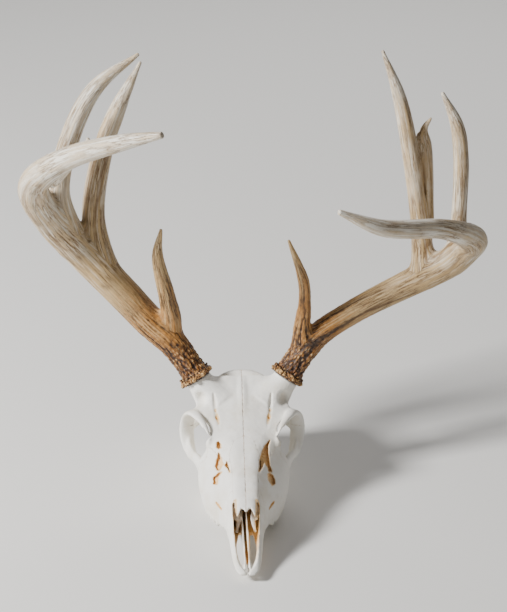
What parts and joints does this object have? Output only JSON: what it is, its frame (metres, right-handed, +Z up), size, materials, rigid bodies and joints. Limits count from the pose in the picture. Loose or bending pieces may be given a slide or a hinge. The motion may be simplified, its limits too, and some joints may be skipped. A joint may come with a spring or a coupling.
{
  "type": "deer skull with antlers",
  "caption": "Life-size bleached skull of a mature white-tailed buck without the lower jaw, with both antlers in place, resting on its cheek teeth and the processes behind the ears.",
  "frame": {"origin": "on the floor plane, under the middle of the bounding box of the skull and antlers", "axes": "nose towards -Y, animal's left side towards +X, +Z up from the chewing plane of the cheek teeth"},
  "size_m": [0.4586, 0.2833, 0.4564],
  "materials": {
    "bone": "matte",
    "antler_burr": "matte",
    "antler_beam": "satin",
    "antler_tine": "satin"
  },
  "bodies": {
    "root": {"nasal_left": "bone", "premaxilla_left": "bone", "frontal_left": "bone", "cheek_left": "bone", "maxilla_left": "bone", "nasal_right": "bone", "premaxilla_right": "bone", "frontal_right": "bone", "cheek_right": "bone", "maxilla_right": "bone", "occipital": "bone", "braincase": "bone", "antler_left_burr": "antler_burr", "antler_left_beam_base": "antler_beam", "antler_left_beam_lower": "antler_beam", "antler_left_beam_upper": "antler_beam", "antler_left_beam_tip": "antler_beam", "antler_left_brow_tine": "antler_tine", "antler_left_second_tine": "antler_tine", "antler_left_third_tine": "antler_tine", "antler_right_burr": "antler_burr", "antler_right_beam_base": "antler_beam", "antler_right_beam_lower": "antler_beam", "antler_right_beam_upper": "antler_beam", "antler_right_beam_tip": "antler_beam", "antler_right_brow_tine": "antler_tine", "antler_right_second_tine": "antler_tine", "antler_right_third_tine": "antler_tine"}
  },
  "joints": []
}
